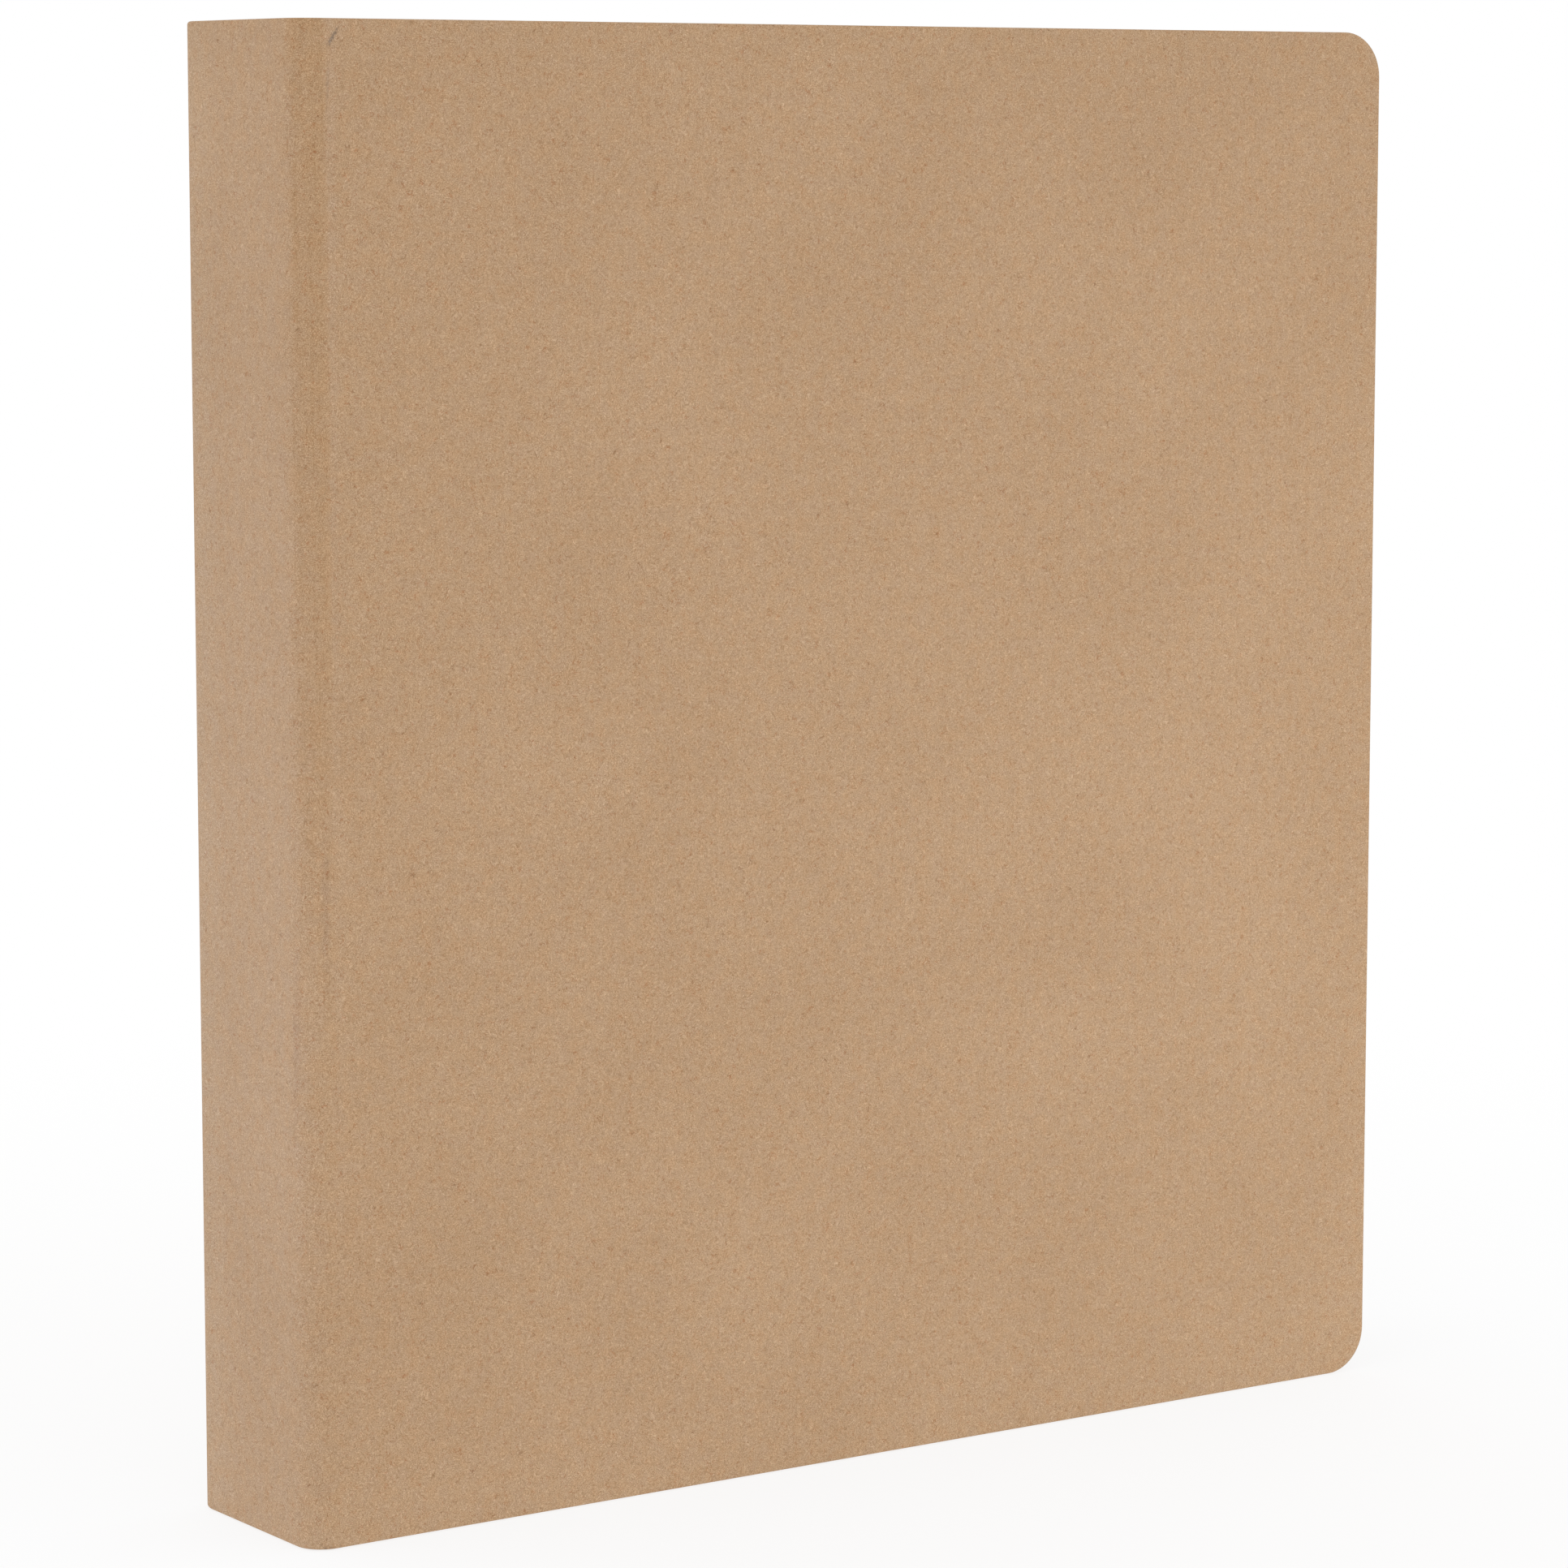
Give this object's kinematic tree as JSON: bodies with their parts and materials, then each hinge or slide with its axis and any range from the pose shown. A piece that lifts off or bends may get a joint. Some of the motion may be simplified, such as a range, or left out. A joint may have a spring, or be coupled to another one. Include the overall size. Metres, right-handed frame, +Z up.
{
  "type": "ring-bound scrapbook album",
  "caption": "Kraft paper scrapbook album with flexible paper hinges, a spine-mounted round-ring mechanism with trigger levers, and punched card leaves.",
  "frame": {"origin": "middle of the base of the album's bounding box, with the album closed and standing on its lower edges", "axes": "+Z up along the spine, +X from the spine to the fore edge, -Y out of the front cover"},
  "size_m": [0.267, 0.0454, 0.292],
  "materials": {
    "kraft_wrap": "matte uncoated kraft paper",
    "kraft_liner": "matte uncoated kraft paper",
    "grey_board": "raw grey board",
    "ring_steel": "polished nickel plate",
    "leaf_card": "matte uncoated card"
  },
  "bodies": {
    "spine": {"spine_wrap": "kraft_wrap", "spine_board": "grey_board", "spine_liner": "kraft_liner", "front_hinge_strip": "kraft_wrap", "back_hinge_strip": "kraft_wrap", "ring_plate": "ring_steel", "upper_rivet": "ring_steel", "lower_rivet": "ring_steel", "top_lever_pin": "ring_steel", "bottom_lever_pin": "ring_steel"},
    "front_cover": {"front_wrap": "kraft_wrap", "front_board": "grey_board", "front_liner": "kraft_liner"},
    "back_cover": {"back_wrap": "kraft_wrap", "back_board": "grey_board", "back_liner": "kraft_liner"},
    "front_rings": {"front_rail": "ring_steel", "front_ring_top": "ring_steel", "front_ring_middle": "ring_steel", "front_ring_bottom": "ring_steel"},
    "back_rings": {"back_rail": "ring_steel", "back_ring_top": "ring_steel", "back_ring_middle": "ring_steel", "back_ring_bottom": "ring_steel"},
    "top_lever": {"top_lever": "ring_steel"},
    "bottom_lever": {"bottom_lever": "ring_steel"},
    "leaf_01": {"leaf_01": "leaf_card"},
    "leaf_02": {"leaf_02": "leaf_card"},
    "leaf_03": {"leaf_03": "leaf_card"},
    "leaf_04": {"leaf_04": "leaf_card"},
    "leaf_05": {"leaf_05": "leaf_card"},
    "leaf_06": {"leaf_06": "leaf_card"},
    "leaf_07": {"leaf_07": "leaf_card"},
    "leaf_08": {"leaf_08": "leaf_card"},
    "leaf_09": {"leaf_09": "leaf_card"},
    "leaf_10": {"leaf_10": "leaf_card"}
  },
  "joints": [
    {"name": "front_cover_hinge", "type": "hinge", "parent": "spine", "child": "front_cover", "pos_m": [-0.13221, -0.02146, 0.146], "axis": [0, 0, -1], "range_deg": [0, 180]},
    {"name": "back_cover_hinge", "type": "hinge", "parent": "spine", "child": "back_cover", "pos_m": [-0.13221, 0.02146, 0.146], "axis": [0, 0, 1], "range_deg": [0, 180]},
    {"name": "front_rings_open", "type": "hinge", "parent": "spine", "child": "front_rings", "pos_m": [-0.1283, -0.0104, 0.146], "axis": [0, 0, -1], "range_deg": [0, 10]},
    {"name": "back_rings_open", "type": "hinge", "parent": "spine", "child": "back_rings", "pos_m": [-0.1283, 0.0104, 0.146], "axis": [0, 0, 1], "range_deg": [0, 10]},
    {"name": "top_lever_press", "type": "hinge", "parent": "spine", "child": "top_lever", "pos_m": [-0.1275, 0, 0.281], "axis": [0, -1, 0], "range_deg": [0, 24]},
    {"name": "bottom_lever_press", "type": "hinge", "parent": "spine", "child": "bottom_lever", "pos_m": [-0.1275, 0, 0.011], "axis": [0, 1, 0], "range_deg": [0, 24]},
    {"name": "leaf_01_turn", "type": "hinge", "parent": "spine", "child": "leaf_01", "pos_m": [-0.1149, 0, 0.146], "axis": [0, 0, -1], "range_deg": [0, 92]},
    {"name": "leaf_02_turn", "type": "hinge", "parent": "spine", "child": "leaf_02", "pos_m": [-0.1149, 0, 0.146], "axis": [0, 0, -1], "range_deg": [0, 78]},
    {"name": "leaf_03_turn", "type": "hinge", "parent": "spine", "child": "leaf_03", "pos_m": [-0.1149, 0, 0.146], "axis": [0, 0, -1], "range_deg": [0, 64]},
    {"name": "leaf_04_turn", "type": "hinge", "parent": "spine", "child": "leaf_04", "pos_m": [-0.1149, 0, 0.146], "axis": [0, 0, -1], "range_deg": [0, 50]},
    {"name": "leaf_05_turn", "type": "hinge", "parent": "spine", "child": "leaf_05", "pos_m": [-0.1149, 0, 0.146], "axis": [0, 0, -1], "range_deg": [0, 36]},
    {"name": "leaf_06_turn", "type": "hinge", "parent": "spine", "child": "leaf_06", "pos_m": [-0.1149, 0, 0.146], "axis": [0, 0, 1], "range_deg": [0, 36]},
    {"name": "leaf_07_turn", "type": "hinge", "parent": "spine", "child": "leaf_07", "pos_m": [-0.1149, 0, 0.146], "axis": [0, 0, 1], "range_deg": [0, 50]},
    {"name": "leaf_08_turn", "type": "hinge", "parent": "spine", "child": "leaf_08", "pos_m": [-0.1149, 0, 0.146], "axis": [0, 0, 1], "range_deg": [0, 64]},
    {"name": "leaf_09_turn", "type": "hinge", "parent": "spine", "child": "leaf_09", "pos_m": [-0.1149, 0, 0.146], "axis": [0, 0, 1], "range_deg": [0, 78]},
    {"name": "leaf_10_turn", "type": "hinge", "parent": "spine", "child": "leaf_10", "pos_m": [-0.1149, 0, 0.146], "axis": [0, 0, 1], "range_deg": [0, 92]}
  ],
  "couplings": [
    {"joint": "back_rings_open", "follows": "front_rings_open", "ratio": 1},
    {"joint": "top_lever_press", "follows": "front_rings_open", "ratio": 2.4},
    {"joint": "bottom_lever_press", "follows": "front_rings_open", "ratio": 2.4},
    {"joint": "leaf_01_turn", "follows": "front_cover_hinge", "ratio": 0.51111},
    {"joint": "leaf_02_turn", "follows": "front_cover_hinge", "ratio": 0.43333},
    {"joint": "leaf_03_turn", "follows": "front_cover_hinge", "ratio": 0.35556},
    {"joint": "leaf_04_turn", "follows": "front_cover_hinge", "ratio": 0.27778},
    {"joint": "leaf_05_turn", "follows": "front_cover_hinge", "ratio": 0.2},
    {"joint": "leaf_06_turn", "follows": "back_cover_hinge", "ratio": 0.2},
    {"joint": "leaf_07_turn", "follows": "back_cover_hinge", "ratio": 0.27778},
    {"joint": "leaf_08_turn", "follows": "back_cover_hinge", "ratio": 0.35556},
    {"joint": "leaf_09_turn", "follows": "back_cover_hinge", "ratio": 0.43333},
    {"joint": "leaf_10_turn", "follows": "back_cover_hinge", "ratio": 0.51111}
  ]
}
